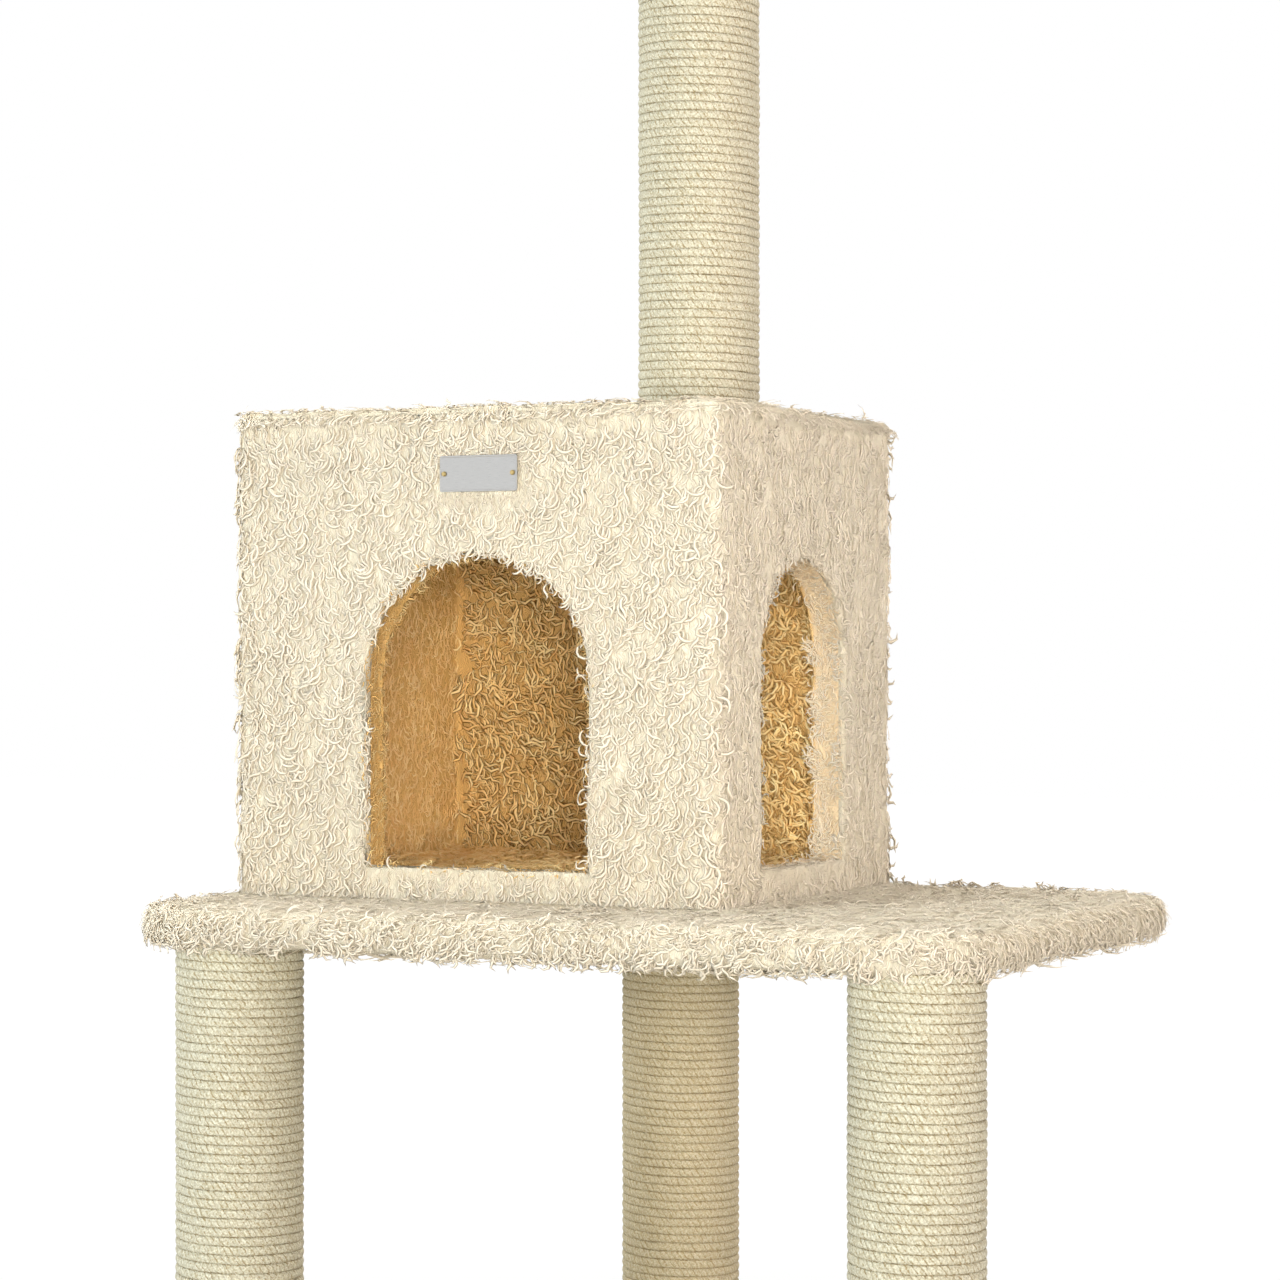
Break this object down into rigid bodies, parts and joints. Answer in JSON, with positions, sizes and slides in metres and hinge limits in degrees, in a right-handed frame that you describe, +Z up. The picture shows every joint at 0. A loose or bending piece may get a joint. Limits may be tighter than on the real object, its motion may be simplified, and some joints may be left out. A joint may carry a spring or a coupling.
{
  "type": "cat tree",
  "caption": "Cat tree with a plush-covered base, sisal rope posts, a platform, an enclosed plush box with two arched doors, and a small perch on top.",
  "frame": {"origin": "centre of the base's underside, on the floor", "axes": "+Z up; -Y is the front, the side of the box's larger door; +X is to the right, the side of the box's smaller door"},
  "size_m": [0.7, 0.53, 1.2165],
  "materials": {
    "plush": "cream faux-sherpa plush, curly pile",
    "lining": "tan curly plush",
    "sisal": "natural twisted sisal rope, 6 mm",
    "chipboard": "raw pressed-wood board",
    "paper_tube": "wound cardboard tube",
    "plug_wood": "raw turned wood",
    "zinc": "zinc-plated steel",
    "chrome": "bare mirror-polished plate",
    "brass": "small brass pin"
  },
  "bodies": {
    "root": {"base_cover": "plush", "platform_cover": "plush", "perch_cover": "plush", "box_wall_cover": "plush", "box_roof_cover": "plush", "box_wall_lining": "lining", "box_floor_lining": "lining", "box_ceiling_lining": "lining", "left_post_sisal_rope": "sisal", "right_post_sisal_rope": "sisal", "back_post_sisal_rope": "sisal", "top_post_sisal_rope": "sisal", "base_board": "chipboard", "platform_board": "chipboard", "perch_board": "chipboard", "box_front_panel": "chipboard", "box_back_panel": "chipboard", "box_left_panel": "chipboard", "box_right_panel": "chipboard", "box_floor_panel": "chipboard", "box_roof_panel": "chipboard", "left_post_tube": "paper_tube", "right_post_tube": "paper_tube", "back_post_tube": "paper_tube", "top_post_tube": "paper_tube", "left_post_bottom_plug": "plug_wood", "left_post_top_plug": "plug_wood", "right_post_bottom_plug": "plug_wood", "right_post_top_plug": "plug_wood", "back_post_bottom_plug": "plug_wood", "back_post_top_plug": "plug_wood", "top_post_bottom_plug": "plug_wood", "top_post_top_plug": "plug_wood", "left_post_stud": "zinc", "right_post_stud": "zinc", "back_post_stud": "zinc", "top_post_stud": "zinc", "left_post_tee_nut": "zinc", "right_post_tee_nut": "zinc", "back_post_tee_nut": "zinc", "top_post_tee_nut": "zinc", "left_base_bolt": "zinc", "left_base_washer": "zinc", "right_base_bolt": "zinc", "right_base_washer": "zinc", "back_base_bolt": "zinc", "back_base_washer": "zinc", "box_screw_1": "zinc", "box_screw_2": "zinc", "box_screw_3": "zinc", "box_screw_4": "zinc", "roof_bolt": "zinc", "roof_washer": "zinc", "name_plate": "chrome", "plate_pin_1": "brass", "plate_pin_2": "brass"}
  },
  "joints": []
}
